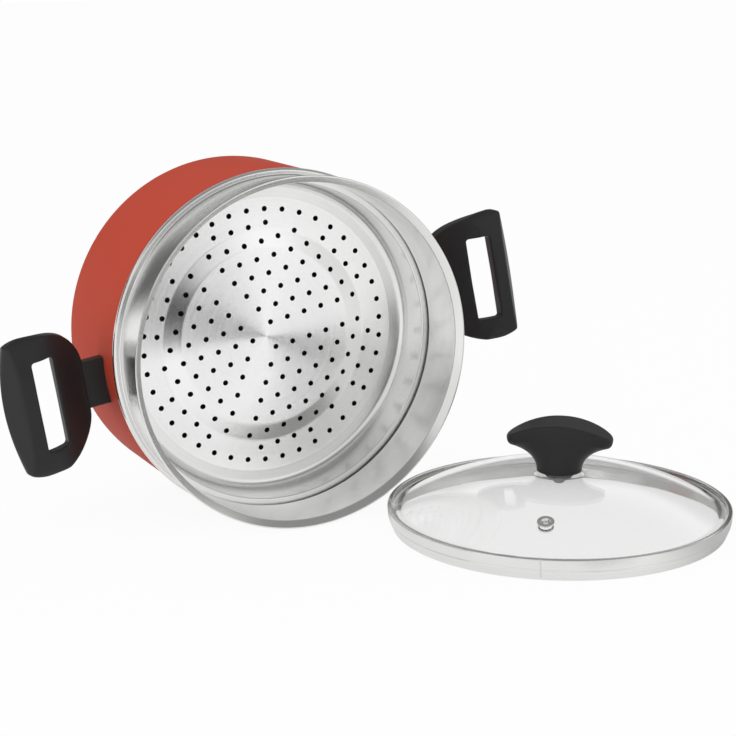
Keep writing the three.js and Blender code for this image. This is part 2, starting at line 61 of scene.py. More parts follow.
MM = 0.001
TURNS = 192          # points round a turned piece
SMALL_TURNS = 48     # points round a small turned piece
HOLE_TURNS = 20      # points round a hole of the insert's floor
ROUND_STEPS = 6      # steps of a rounded edge
CURVE_STEPS = 24     # steps of a Bezier curve
GRIP_TURNS = 240     # points round the grip's outline
SLOT_TURNS = 110     # points round the finger slot's outline
POLAR_STEPS = 4000   # points of an outline that is looked up by angle
FINE_LINE = 0.005 * MM   # width of the finest spun lines
FLOOR_DROP = 0.2 * MM    # gap that keeps the set off the floor
FLOOR_FLAT = 4 * MM      # flat of the insert's floor next to its corner
GLASS_GAP = 0.3 * MM     # gap between the glass and the band's ledge
STUB_SINK = 4 * MM       # how far the stub starts inside the pot's wall, where it is cut
STUB_LAP = 3 * MM        # how far the stub reaches into the grip
SENSOR = 36              # width of the camera's sensor, in millimetres
KEY_LAMP = (-1.3, -1.2, 1.9), 1.4    # a lamp's place and size, in metres
FILL_LAMP = (1.6, -1.0, 1.2), 1.6
TURN = 2 * math.pi
BLACK, WHITE = (0, 0, 0), (1, 1, 1)


# Places that the frame gives

def node_points(name):
    """All corners of a CAD node, in metres."""
    mesh = frame["nodes"][name].data
    points = np.empty(3 * len(mesh.vertices), np.float32)
    mesh.vertices.foreach_get("co", points)
    return points.reshape(-1, 3).astype(float)


BASE = frame["record"]["mounts"][0]
POT_Z = -np.array(BASE["axis"])
POT_X = np.array([1.0, 0.0, 0.0])
POT_Y = np.cross(POT_Z, POT_X)
POT_MIDDLE = node_points("pot_body").mean(axis=0)
POT_ORIGIN = POT_MIDDLE - POT_Z * ((POT_MIDDLE - np.array(BASE["pos_m"])) @ POT_Z)
POT_LOW, POT_HIGH = (np.array(corner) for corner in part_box("pot_body"))
BAND_LOW, BAND_HIGH = (np.array(corner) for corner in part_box("lid_rim_band"))
LID_ORIGIN = np.array([*(BAND_LOW + BAND_HIGH)[:2] / 2, BAND_LOW[2]])
POT_AXIS, LID_AXIS = (POT_ORIGIN, POT_Z), (LID_ORIGIN, (0, 0, 1))


def on_pot(points):
    """Pot frame to scene: origin + x * X + y * Y + z * Z, with Z along the axis to the mouth."""
    return POT_ORIGIN + points @ np.stack([POT_X, POT_Y, POT_Z])


def on_lid(points):
    """Lid frame to scene: the lid lies flat, so its place is only added."""
    return LID_ORIGIN + points


# Settings

def length(description, millimetres):
    return FloatProperty(description=description, default=millimetres * MM, unit="LENGTH",
                         precision=5)


def turn(description, degrees):
    return FloatProperty(description=description, default=math.radians(degrees), subtype="ANGLE")


def share(description, value):
    return FloatProperty(description=description, default=value, min=0.0, max=2.0, subtype="FACTOR")


def colour(description, value):
    return FloatVectorProperty(description=description, default=value, min=0.0, max=1.0,
                               subtype="COLOR")


def named(group):
    """Gives every setting of a group its name: the attribute's own, in plain words."""
    for attribute, setting in group.__annotations__.items():
        setting.keywords["name"] = attribute.replace("_", " ").capitalize()
    return group


@named
class PotSizes(bpy.types.PropertyGroup):
    """Sizes of the pot's body."""
    radius: length("Outside radius", (POT_HIGH[0] - POT_LOW[0]) / 2 / MM)
    wall: length("Thickness of the wall", 2.5)
    floor: length("Thickness of the floor", 4)
    height: length("From the base to the rim", 104)
    corner: length("Outside round at the base", 12)
    rim: length("Round of the rim's edges", 1)
    base_ring: length("Width of the ring it stands on", 8)
    base_step: length("Depth of the disc inside that ring", 0.5)


@named
class InsertSizes(bpy.types.PropertyGroup):
    """Sizes of the steamer insert."""
    sheet: length("Thickness of the sheet", 1)
    seat: length("Height of the bead's seat above the pot's base", 104.3)
    basket: length("Inside radius of the basket's top", 116)
    draft: length("Narrowing of the basket to its floor", 2.1)
    depth: length("From the bead's seat down to the floor", 26)
    corner: length("Inside round at the floor", 8)
    bead: length("Outside radius of the folded bead", 126.1)
    bead_height: length("Height of the folded bead", 5)
    bead_mouth: length("Open gap of the fold", 2.4)
    collar: length("Inside radius of the collar", 120.3)
    collar_height: length("From the bead to the foot of the lip", 39.5)
    lip: length("Outside radius of the lip", 125.7)
    lip_rise: length("Height of the flared lip", 4.4)
    lip_bead: length("Thickness of the lip's edge", 2)
    step: length("Radius of the floor's sloping step", 72.5)
    step_width: length("Width of the step", 13)
    step_rise: length("Rise of the floor's middle", 3)
    hole: length("Diameter of a hole", 4)
    circle: length("Radius of the circle of holes", 93.6)
    circle_holes: IntProperty(description="Number of holes in the circle", default=42)
    circle_turn: turn("Turn of the circle's first hole", 3)
    fans: IntProperty(description="Number of fans of holes inside the circle", default=3)
    fan_turn: turn("Turn of the first fan", 71.5)
    pitch: length("Distance between a fan's holes", 13.8)
    fan_start: length("From the centre to a fan's first hole", 11.1)
    fan_margin: length("Bare band inside the circle", 8.6)


@named
class HandleSizes(bpy.types.PropertyGroup):
    """Sizes of the two loop handles. Distances out are from the pot's axis."""
    right: turn("Rise of the right handle above level", 10.4)
    left: turn("Fall of the left handle below level", 8.5)
    face: length("Height of the upper face above the pot's base", 109)
    thickness: length("Thickness of the loop", 9.5)
    half: length("Half the grip's length", 50.2)
    belly: length("Distance out to the round inner side", 139.5)
    belly_end: length("Distance out to the ends of that side", 184)
    edge: length("Distance out to the ends of the outer edge", 196.7)
    bow: length("Bow of the outer edge", 5.6)
    taper: length("Narrowing at the ends of the outer edge", 4.5)
    ease: length("Ease of the inner side's corners", 8.5)
    skirt: length("Depth of the outer edge", 18.2)
    crown: length("Half the level part of the upper face", 15)
    crown_drop: length("Fall of the upper face at its ends", 9)
    slot: length("Distance out to the finger slot", 164.5)
    slot_width: length("Width of the finger slot", 16.5)
    slot_half: length("Half the slot's length", 32)
    slot_corner: length("Round of the slot's corners", 2.5)
    ridge: length("Distance out to the slanted face's ridge", 191)
    ridge_soft: length("Softness of the ridge", 0.6)
    slant: length("Depth of the slanted face at the bow", 17)
    soft: length("Round of the grip's edges", 2)
    stub_half: length("Half the stub's width", 17)
    stub_height: length("Height of the stub", 11)
    stub_drop: length("From the upper face down to the stub's", 26.5)
    sweep_start: length("Distance out to where the stub starts to rise", 139)
    sweep_end: length("Distance out to where the loop is level", 184)
    sweep_foot: length("Ease of the sweep at the stub", 11)
    sweep_head: length("Ease of the sweep at the grip", 20)
    gap: length("Gap between the stub and the pot's wall", 0.3)
    screw: length("Distance out to the screw", 134.5)
    recess: length("Radius of the screw's recess", 4.3)
    recess_depth: length("Depth of the screw's recess", 3.7)


@named
class LidSizes(bpy.types.PropertyGroup):
    """Sizes of the lid's glass, band and steam vent."""
    radius: length("Outside radius of the band", (BAND_HIGH[0] - BAND_LOW[0]) / 2 / MM)
    foot: length("Outside radius of the band's foot", 118.9)
    height: length("Height of the band", (BAND_HIGH[2] - BAND_LOW[2]) / MM)
    waist: length("Height of the crease round the band", 7.6)
    waist_inset: length("Inset of the crease from the top edge", 0.6)
    crease: length("Half the crease's width", 0.9)
    crease_depth: length("Depth of the crease", 0.5)
    sheet: length("Thickness of the band", 1)
    band_lip: length("Width of the lip over the glass", 3)
    ledge: length("Width of the ledge under the glass", 4)
    seam: turn("Turn of the band's seam", -127.5)
    seam_width: length("Width of the seam", 0.55)
    seam_depth: length("Depth of the seam", 0.7)
    glass: length("Thickness of the glass", 4)
    glass_edge: length("Radius of the glass", 120.7)
    glass_top: length("Height of the glass's upper edge", 14.2)
    flat: length("Width of the glass's flat edge", 6.5)
    rise: length("Rise of the dome above its edge", 25.4)
    land: length("Radius of the flat middle", 17)
    bend: length("Softness of the bend at the flat edge", 0.5)
    bore: length("Radius of the knob's hole", 3.5)
    vent: length("From the lid's centre to the steam vent", 84)
    vent_turn: turn("Turn of the steam vent", -128)
    vent_hole: length("Radius of the vent's hole in the glass", 4.6)
    vent_flange: length("Radius of the eyelet's flange", 6)
    vent_barrel: length("Radius of the eyelet's barrel", 3.4)
    vent_bore: length("Radius of the eyelet's bore", 2.2)
    vent_foot: length("Reach of the eyelet below the upper face", 5.6)


@named
class KnobSizes(bpy.types.PropertyGroup):
    """Sizes of the lid's knob."""
    turned: turn("Turn of the knob", -38)
    foot: length("Height of the foot above the floor", 39.9)
    half: length("Half the width", 37.75)
    depth: length("Half the depth", 16)
    stem: length("Radius at the glass", 16)
    height: length("Height of the arched top", 36)
    fall: length("Fall of the arch to the tips", 11)
    under: length("Height of the underside near the tips", 18)
    neck: length("Height of the stem's upright part", 8)
    spread: length("Reach past the stem where the underside levels off", 6)
    tip_round: length("Round of the underside at the tips", 3)
    edge: length("Round of the top's edge", 1.1)


@named
class Finishes(bpy.types.PropertyGroup):
    """Colours of the pieces."""
    red: colour("Pot's outside", (0.545, 0.074, 0.043))
    lining: colour("Pot's inside", (0.03, 0.03, 0.031))
    base: colour("Pot's bare base", (0.62, 0.62, 0.63))
    steel: colour("Insert and band", (0.82, 0.82, 0.81))
    floor: colour("Insert's floor", (0.97, 0.97, 0.965))
    plain: colour("Screws, washers and brackets", (0.55, 0.55, 0.56))
    black: colour("Handles and knob", (0.02, 0.02, 0.0205))
    glass: colour("Tint of the glass", (0.885, 0.888, 0.883))
    brass: colour("Threaded insert", (0.6, 0.42, 0.16))
    seal: colour("Silicone seal", (0.3, 0.31, 0.31))


@named
class StageSettings(bpy.types.PropertyGroup):
    """Floor, light and camera. Brightnesses are what reflections show."""
    floor: length("Half the floor's width", 9000)
    floor_white: share("Share of plain white in the floor that the camera sees", 0.94)
    floor_shade: share("Share of the floor's own shading close to the set", 0.35)
    sky: share("Strength of the even light", 0.72)
    front: turn("Turn of the tall light from straight ahead", 23)
    # The dark screen and the dim room right of the tall light are no objects: darker world light,
    # and painted shade in the floor's colour where reflections show it.
    flag: share("Brightness of the dark screen left of the tall light", 0.03)
    right: share("Brightness of the room right of the tall light", 0.6)
    overhead: share("Brightness of the room above", 0.3)
    horizon: share("Brightness of the low wall behind the set", 0.12)
    dark: share("Brightness of the room behind the camera", 0.8)
    key: FloatProperty(description="Power of the key lamp", default=16, unit="POWER")
    fill: FloatProperty(description="Power of the fill lamp", default=5, unit="POWER")
    camera: FloatVectorProperty(description="Place of the camera", unit="LENGTH",
                                default=(-0.5524, -1.1173, 0.4207), subtype="TRANSLATION")
    tilt: turn("How far the camera looks down", 13.69)
    aim: turn("Turn of the camera to the right", 26.13)
    lean: turn("Fall of the camera's right side", 0.43)
    lens: FloatProperty(description="Focal length in millimetres", default=89.79)


@named
class SteamerPotSettings(bpy.types.PropertyGroup):
    """All settings of the set."""
    pot: PointerProperty(type=PotSizes)
    insert: PointerProperty(type=InsertSizes)
    handle: PointerProperty(type=HandleSizes)
    lid: PointerProperty(type=LidSizes)
    knob: PointerProperty(type=KnobSizes)
    finish: PointerProperty(type=Finishes)
    stage: PointerProperty(type=StageSettings)


# Surfaces

def evenly(steps=TURNS):
    """Angles spaced evenly round a circle."""
    return np.arange(steps) * TURN / steps


def circle(a):
    """Points of the unit circle at the given angles."""
    return np.stack([np.cos(a), np.sin(a)], axis=-1)


def grid_faces(rows, columns, close_rows=False, close_columns=True):
    """Quads of a grid of points kept row by row, each running along its row first."""
    i = np.arange(rows if close_rows else rows - 1)[:, None]
    j = np.arange(columns if close_columns else columns - 1)[None, :]
    up, on = (i + 1) % rows, (j + 1) % columns
    corners = [i * columns + j, i * columns + on, up * columns + on, up * columns + j]
    return np.stack(np.broadcast_arrays(*corners), axis=-1).reshape(-1, 4)


def rounded(corners, closed=False, steps=ROUND_STEPS):
    """A profile from corners (r, z, round).

    Each corner is cut back by round / tan(half its angle) on both sides, at most nearly half of
    each side, and the two ends are joined by the circular arc that touches both sides.
    """
    table = np.array(corners, float)
    points, wanted = table[:, :2], table[:, 2]
    before, after = np.roll(points, 1, axis=0) - points, np.roll(points, -1, axis=0) - points
    if not closed:
        before[0], after[-1] = -after[0], -before[-1]
    reach = np.minimum(np.linalg.norm(before, axis=1), np.linalg.norm(after, axis=1)) * 0.49
    before /= np.linalg.norm(before, axis=1, keepdims=True)
    after /= np.linalg.norm(after, axis=1, keepdims=True)
    half = np.arccos(np.clip((before * after).sum(axis=1), -1, 1)) / 2
    back = np.minimum(wanted / np.tan(half), reach)
    sweep = math.pi - 2 * half
    t = np.linspace(0, 1, steps + 1)[None, :]
    flat = sweep[:, None] < 1e-3
    span = np.where(flat, 1.0, sweep[:, None])
    lead = np.where(flat, 1 - t, np.sin((1 - t) * span) / np.sin(span))
    tail = np.where(flat, t, np.sin(t * span) / np.sin(span))
    start = before * back[:, None]
    end = after * back[:, None]
    centre = (before + after) * (back / np.maximum(1 + np.cos(2 * half), 1e-9))[:, None]
    arcs = lead[..., None] * (start - centre)[:, None] + tail[..., None] * (end - centre)[:, None]
    arcs = points[:, None] + np.where((wanted > 0)[:, None, None], centre[:, None] + arcs, 0.0)
    profile = arcs.reshape(-1, 2)
    profile = profile[np.r_[True, np.linalg.norm(np.diff(profile, axis=0), axis=1) > 1e-9]]
    return np.vstack([profile, profile[:1]]) if closed else profile


def turned(profile, angles=None, steps=TURNS):
    """A surface of revolution: profile point (r, z) at angle a lies at (r cos a, r sin a, z)."""
    a = evenly(steps) if angles is None else angles
    r, z = profile[:, 0, None], profile[:, 1, None]
    points = np.stack(np.broadcast_arrays(r * np.cos(a), r * np.sin(a), z), axis=-1)
    return points.reshape(-1, 3), grid_faces(len(profile), len(a))


def turn_about_z(points, angle):
    c, s = math.cos(angle), math.sin(angle)
    return points @ np.array([[c, s, 0], [-s, c, 0], [0, 0, 1]])


def bezier(*controls, steps=CURVE_STEPS):
    """A Bezier curve through its first and last control point, by repeated mixing of neighbours."""
    t = np.linspace(0, 1, steps + 1)[:, None]
    level = [np.array(control, float)[None] for control in controls]
    while len(level) > 1:
        level = [a + (b - a) * t for a, b in zip(level, level[1:])]
    return level[0]


def box_outline(x0, x1, y0, y1, corner):
    """A closed rectangle with rounded corners."""
    corners = (x0, y0), (x1, y0), (x1, y1), (x0, y1)
    return rounded([(x, y, corner) for x, y in corners], closed=True)


def moved(move, shape, *more):
    """A shape (points, faces and the rest) with its points moved by a function."""
    return move(shape[0], *more), *shape[1:]


def outward(mesh):
    """Merges equal corners of a closed mesh and turns its faces outwards, by its volume's sign."""
    shell = bmesh.new()
    shell.from_mesh(mesh)
    bmesh.ops.remove_doubles(shell, verts=shell.verts, dist=1e-6)
    bmesh.ops.dissolve_degenerate(shell, edges=shell.edges, dist=1e-7)
    if shell.calc_volume(signed=True) < 0:
        bmesh.ops.reverse_faces(shell, faces=shell.faces)
    shell.to_mesh(mesh)
    shell.free()


def linked(name, data):
    """A new object in the scene."""
    made = bpy.data.objects.new(name, data)
    bpy.context.collection.objects.link(made)
    return made


def new_object(name, points, faces, finish_index=None):
    """An object at the origin with the given corners and faces, closed and turned outwards."""
    mesh = bpy.data.meshes.new(name)
    mesh.from_pydata(points.tolist(), [], [list(face) for face in faces])
    if finish_index is not None:
        mesh.polygons.foreach_set("material_index", np.asarray(finish_index, np.int32))
    outward(mesh)
    return linked(name, mesh)


def combine(piece, operation, *tools):
    """Joins or cuts closed tools (points, faces) with a piece and keeps the result as its mesh."""
    helpers = [new_object(f"{piece.name}_tool", *tool) for tool in tools]
    for helper in helpers:
        step = piece.modifiers.new("step", "BOOLEAN")
        step.operation, step.object, step.solver = operation, helper, "MANIFOLD"
    evaluated = piece.evaluated_get(bpy.context.evaluated_depsgraph_get())
    mesh = bpy.data.meshes.new_from_object(evaluated)
    piece.modifiers.clear()
    mesh.materials.clear()
    piece.data = mesh
    for helper in helpers:
        bpy.data.objects.remove(helper)


def dress(piece, body, node, finishes, sharp=35):
    """Smooths a piece up to an angle, gives it finishes, ties it to its body and hides the CAD node
    that it stands for.
    """
    for finish in finishes:
        piece.data.materials.append(finish)
    piece.data.shade_smooth()
    piece.data.set_sharp_from_angle(angle=math.radians(sharp))
    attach(piece, body)
    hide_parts(node)


# Finishes

def shader_operator(operation, reflected=False):
    """A Python operator that adds a Math node."""
    def apply(self, other):
        first, second = (other, self) if reflected else (self, other)
        return self.finish.node("Math", {"operation": operation}, {0: first, 1: second})
    return apply


class Reading:
    """A value in a finish: a socket whose Python operators add Math nodes."""

    def __init__(self, finish, socket):
        self.finish, self.socket = finish, socket

    __add__, __radd__ = shader_operator("ADD"), shader_operator("ADD", reflected=True)
    __sub__, __rsub__ = shader_operator("SUBTRACT"), shader_operator("SUBTRACT", reflected=True)
    __mul__, __rmul__ = shader_operator("MULTIPLY"), shader_operator("MULTIPLY", reflected=True)


class Finish:
    """The node tree of a material or of the world, filled through one method."""

    def __init__(self, owner):
        owner.use_nodes = True
        self.owner, self.tree = owner, owner.node_tree
        self.tree.nodes.clear()

    def node(self, kind, settings=None, values=None, output=0):
        """Adds a node with its settings and its sockets' values or links. Gives one output."""
        node = self.tree.nodes.new("ShaderNode" + kind)
        for key, value in (settings or {}).items():
            setattr(node, key, value)
        for key, value in (values or {}).items():
            if isinstance(value, Reading):
                self.tree.links.new(value.socket, node.inputs[key])
            else:
                node.inputs[key].default_value = value
        return Reading(self, node.outputs[output]) if len(node.outputs) else None

    def vector(self, operation, first, second=(0, 0, 0), output="Vector"):
        return self.node("VectorMath", {"operation": operation}, {0: first, 1: second}, output)

    def dot(self, first, second):
        return self.vector("DOT_PRODUCT", first, second, "Value")

    def scaled(self, vector, amount):
        return self.node("VectorMath", {"operation": "SCALE"}, {0: vector, "Scale": amount})

    def blend(self, factor, first, second):
        """A colour between two colours."""
        ends = {0: factor, 6: (*first, 1), 7: (*second, 1)}
        return self.node("Mix", {"data_type": "RGBA"}, ends, 2)

    def place(self):
        return self.node("TexCoord", output="Object")

    def noise(self, place, scale, detail=2.0):
        return self.node("TexNoise", {}, {"Vector": place, "Scale": scale, "Detail": detail}, "Fac")

    def between(self, value, low, high, to_low=0.0, to_high=1.0):
        """A value moved from one range to another along a smooth step."""
        ends = {"From Min": low, "From Max": high, "To Min": to_low, "To Max": to_high}
        return self.node("MapRange", {"interpolation_type": "SMOOTHSTEP"}, {"Value": value, **ends})

    def bump(self, height, depth):
        """A Bump node whose height is in metres."""
        return self.node("Bump", {}, {"Strength": 1.0, "Distance": depth, "Height": height})

    def surface(self, **values):
        """Makes the surface from values by socket name, with _ for a space. Gives the material."""
        named_values = {key.replace("_", " "): value for key, value in values.items()}
        self.node("OutputMaterial", {}, {"Surface": self.node("BsdfPrincipled", {}, named_values)})
        return self.owner


def new_finish(name):
    return Finish(bpy.data.materials.new(name))


def tint(base, amount):
    """A colour made lighter or darker by a factor."""
    return tuple(min(1.0, channel * amount) for channel in base)


def coated_red(base):
    """Satin red coating: a soft orange peel, fine flecks and slightly uneven gloss."""
    f = new_finish("red_coating")
    place = f.place()
    flecks = f.noise(place, 1400, 1)
    clouds = f.noise(place, 9, 3)
    shade = f.blend(0.6 * flecks + 0.4 * clouds, tint(base, 0.9), tint(base, 1.1))
    return f.surface(Base_Color=shade, Roughness=0.44 + 0.12 * clouds, Specular_IOR_Level=0.03,
                     Normal=f.bump(f.noise(place, 900), 0.03 * MM))


def dark_lining(base):
    """Dark non-stick lining with pale flecks."""
    f = new_finish("dark_lining")
    place = f.place()
    flecks = f.between(f.noise(place, 700, 2), 0.62, 0.7)
    return f.surface(Base_Color=f.blend(flecks, base, tint(base, 4)),
                     Roughness=0.4 + 0.1 * f.noise(place, 60),
                     Normal=f.bump(f.noise(place, 1100), 0.03 * MM))


def spun_lines(f, centre, axis, pitch, lean, pressed=None):
    """A normal with spun lines.

    With r the distance from the axis and h the height along it, a chance value for each fine line
    of (r, h), and a little of a coarser noise of (r, h), lean the normal along the meridian, which
    is the cross product of the normal and the direction round the axis. A pressed ring (radius,
    width) is smoother.
    """
    offset = f.vector("SUBTRACT", f.place(), tuple(centre))
    h = f.dot(offset, tuple(axis))
    out = f.vector("SUBTRACT", offset, f.scaled(tuple(axis), h))
    r = f.vector("LENGTH", out, output="Value")
    round_axis = f.vector("NORMALIZE", f.vector("CROSS_PRODUCT", tuple(axis), out))
    normal = f.node("NewGeometry", output="Normal")
    meridian = f.vector("CROSS_PRODUCT", normal, round_axis)
    at = f.node("CombineXYZ", {}, {"X": r, "Y": h})
    lines = f.noise(at, pitch, 2)
    fine = f.node("TexWhiteNoise", {}, {"Vector": f.vector("SNAP", at, (FINE_LINE,) * 3)}, "Value")
    if pressed:
        aside = f.node("Math", {"operation": "ABSOLUTE"}, {0: r - pressed[0]})
        lean = f.between(aside, 0.4 * pressed[1], 0.6 * pressed[1], 0.25 * lean, lean)
    leaned = f.vector("ADD", normal, f.scaled(meridian, (2 * fine + 0.06 * lines - 1.03) * lean))
    return f.vector("NORMALIZE", leaned), lines


def spun_metal(name, base, centre, axis, pitch, lean, rough, pressed=None):
    """Turned or spun metal: fine lines round the axis, with gloss that varies a little."""
    f = new_finish(name)
    normal, lines = spun_lines(f, centre, axis, pitch, lean, pressed)
    smears = f.noise(f.place(), 40, 3)
    return f.surface(Base_Color=f.blend(lines, tint(base, 0.94), tint(base, 1.06)), Metallic=1.0,
                     Roughness=rough * (0.8 + 0.4 * smears), Normal=normal)


def satin(name, base, lightest, patches, grain, depth, rough, uneven, **more):
    """Uneven colour and gloss in patches, over a grain. Each noise is (scale, detail)."""
    f = new_finish(name)
    place = f.place()
    patch = f.noise(place, *patches)
    return f.surface(Base_Color=f.blend(patch, tint(base, 0.85), tint(base, lightest)),
                     Roughness=rough + uneven * patch,
                     Normal=f.bump(f.noise(place, *grain), depth), **more)


def plain_metal(name, base, rough):
    """Plain satin metal with fine scratches and slightly uneven gloss."""
    return satin(name, base, lightest=1.1, patches=(300, 3), grain=(2500, 2),
                 depth=0.02 * MM, rough=rough, uneven=0.15, Metallic=1.0)


def moulded_black(base):
    """Moulded black bakelite: fine grain and a satin gloss that is a little duller in patches."""
    return satin("black_bakelite", base, lightest=1.25, patches=(45, 3), grain=(1800, 2),
                 depth=0.03 * MM, rough=0.38, uneven=0.16, Specular_IOR_Level=0.25)


def clear_glass(base):
    """Clear tempered glass, with the slightest waviness that tempering leaves."""
    f = new_finish("clear_glass")
    return f.surface(Base_Color=(*base, 1), Roughness=0.0, IOR=1.5, Transmission_Weight=1.0,
                     Normal=f.bump(f.noise(f.place(), 18, 1), 0.2 * MM))


def soft_seal(base):
    """Soft grey silicone with a dusty surface."""
    return satin("grey_silicone", base, lightest=1.1, patches=(900, 3), grain=(900, 3),
                 depth=0.03 * MM, rough=0.6, uneven=0.2)


# Shapes of the pot and its insert

def pot_shell(s):
    """The pot's wall and floor: a turned profile up the outside, over the rim and down inside."""
    inner, ring = s.radius - s.wall, s.radius - s.corner - s.base_ring
    profile = rounded([
        (0, s.base_step, 0),
        (ring, s.base_step, s.base_step / 2),
        (ring + s.base_step, 0, s.base_step / 2),
        (s.radius, 0, s.corner),
        (s.radius, s.height, s.rim),
        (inner, s.height, s.rim),
        (inner, s.floor, s.corner - s.wall),
        (0, s.floor, 0),
    ], steps=10)
    points, faces = turned(profile)
    row = np.arange(len(faces)) // TURNS
    inside = row >= np.argmax(profile[:, 1])
    bare = ~inside & (profile[row, 0] < ring)
    return points, faces, np.where(inside, 1, np.where(bare, 2, 0))


def insert_wall(s):
    """The insert's wall: a profile up the sheet's outside, round the lip and down its inside."""
    floor = s.seat - s.depth
    edge = s.basket - s.draft - s.corner - FLOOR_FLAT
    top = s.seat + s.bead_height
    lip_foot = top + s.collar_height
    mouth = lip_foot + s.lip_rise
    fold_low = s.seat + (s.bead_height - s.bead_mouth) / 2
    fold_high = fold_low + s.bead_mouth
    half_bead, half_fold = s.bead_height / 2, s.bead_mouth / 2
    return rounded([
        (edge, floor - s.sheet, 0),
        (s.basket - s.draft + s.sheet, floor - s.sheet, s.corner + s.sheet),
        (s.basket + s.sheet, s.seat, s.sheet),
        (s.bead, s.seat, half_bead),
        (s.bead, top, half_bead),
        (s.collar + s.sheet, top, s.sheet),
        (s.collar + s.sheet, lip_foot, 2 * s.sheet),
        (s.lip - s.lip_bead / 2, mouth - s.lip_bead, s.lip_bead / 4),
        (s.lip, mouth - s.lip_bead, s.lip_bead / 2),
        (s.lip, mouth, s.lip_bead / 2),
        (s.lip - s.sheet, mouth, s.lip_bead / 4),
        (s.collar, lip_foot, 2 * s.sheet),
        (s.collar, fold_high, s.sheet),
        (s.bead - s.sheet, fold_high, half_fold),
        (s.bead - s.sheet, fold_low, half_fold),
        (s.basket, fold_low, 1.2 * s.sheet),
        (s.basket - s.draft, floor, s.corner),
        (edge, floor, 0),
    ], steps=8)


def hole_centres(s):
    """Centres of the holes.

    One circle, and fans of a triangular lattice: hole (i, j) of a fan lies (i + j) half pitches
    along the fan's middle line, when a fan is a third of the circle, and i - j steps across it.
    """
    outer = s.circle * circle(s.circle_turn + evenly(s.circle_holes))
    limit, half = s.circle - s.fan_margin, math.pi / s.fans
    rows = math.ceil(2 * limit / s.pitch)
    i, j = np.meshgrid(np.arange(rows), np.arange(rows))
    along = s.fan_start + (i + j) * s.pitch * math.cos(half)
    across = (i - j) * s.pitch * math.sin(half)
    reach = np.hypot(along, across)
    keep = reach <= limit
    a = (np.arctan2(across, along)[keep] + s.fan_turn + evenly(s.fans)[:, None]).ravel()
    return np.vstack([outer, np.tile(reach[keep], s.fans)[:, None] * circle(a)])


def perforated_floor(s, edge):
    """The insert's floor: a disc with its holes left out, lifted to z(r), as two sheets.

    z(r) = floor + rise * (1 - d) / 2, where d is the distance from the middle of the step over
    its half width, kept between -1 and 1. The disc is triangulated between the rims of its holes
    and circles round the centre.
    """
    centres = hole_centres(s)
    a, b = evenly(), evenly(HOLE_TURNS)
    radii = np.r_[edge, s.step + s.step_width * np.r_[-0.57, np.linspace(-0.5, 0.5, 11), 0.57]]
    circles = radii[:, None, None] * circle(a)[None]
    rims = centres[:, None] + s.hole / 2 * circle(b)[None]
    flat = np.vstack([circles.reshape(-1, 2), rims.reshape(-1, 2)]) / MM
    links = []
    loops = (0, len(radii), len(a)), (len(radii) * len(a), len(centres), len(b))
    for start, count, size in loops:
        first = start + np.arange(count * size).reshape(count, size)
        links.append(np.stack([first, np.roll(first, -1, axis=1)], axis=-1).reshape(-1, 2))
    corners = [Vector(point) for point in flat.tolist()]
    found = geometry.delaunay_2d_cdt(corners, np.vstack(links).tolist(), [], 1, 1e-5)
    plan = np.array([tuple(point) for point in found[0]]) * MM
    faces = np.array(found[2])
    middle = plan[faces].mean(axis=1)
    nearest = np.linalg.norm(middle[:, None] - centres[None], axis=-1).min(axis=1)
    faces = faces[nearest > s.hole / 2 * 0.98]
    one, two, three = (plan[faces[:, k]] for k in range(3))
    area = (two - one)[:, 0] * (three - one)[:, 1] - (two - one)[:, 1] * (three - one)[:, 0]
    faces[area < 0] = faces[area < 0][:, ::-1]
    reach = np.hypot(plan[:, 0], plan[:, 1])
    d = np.clip((reach - s.step) / (s.step_width / 2), -1, 1)
    z = s.seat - s.depth + s.step_rise * (1 - d) / 2
    upper = np.column_stack([plan, z])
    lower = np.column_stack([plan, z - s.sheet])
    count = len(plan)
    sides = np.vstack([faces[:, [0, 1]], faces[:, [1, 2]], faces[:, [2, 0]]])
    open_side = ~np.isin(sides[:, 0] * count + sides[:, 1], sides[:, 1] * count + sides[:, 0])
    rim = sides[open_side & (reach[sides].min(axis=1) < edge - 0.5 * MM)]
    walls = np.column_stack([rim[:, 1], rim[:, 0], rim[:, 0] + count, rim[:, 1] + count])
    sheets = [*faces.tolist(), *(faces[:, ::-1] + count).tolist()]
    return np.vstack([upper, lower]), sheets + walls.tolist()


# Shapes of the handles

def handle_outline(s):
    """The grip's outline in plan, from four Bezier corners and the bowed outer edge."""
    middle, half = (s.belly + s.belly_end) / 2 - s.ease, s.half
    side, tip = half - 2 * s.ease, half - s.taper
    lower = np.vstack([
        bezier((s.belly, -s.stub_half), (s.belly, -side), (middle, -half), (s.belly_end, -half)),
        bezier((s.belly_end, -half), ((s.belly_end + s.edge) / 2, -half), (s.edge, -tip)),
        bezier((s.edge, -tip), (s.edge + 2 * s.bow, 0), (s.edge, tip)),
    ])
    upper = lower[:2 * (CURVE_STEPS + 1)][::-1] * (1, -1)
    return np.vstack([lower, upper])


def polar(outline, centre, count):
    """Angles and distances about a centre of points spaced evenly along an outline round it."""
    loop = np.vstack([outline, outline[:1]])
    along = np.r_[0, np.cumsum(np.linalg.norm(np.diff(loop, axis=0), axis=1))]
    at = np.linspace(0, along[-1], count, endpoint=False)
    offset = np.column_stack([np.interp(at, along, loop[:, k]) for k in range(2)]) - centre
    angles = np.arctan2(offset[:, 1], offset[:, 0]) % TURN
    a, first = np.unique(angles.round(7), return_index=True)
    return a, np.linalg.norm(offset, axis=1)[first]


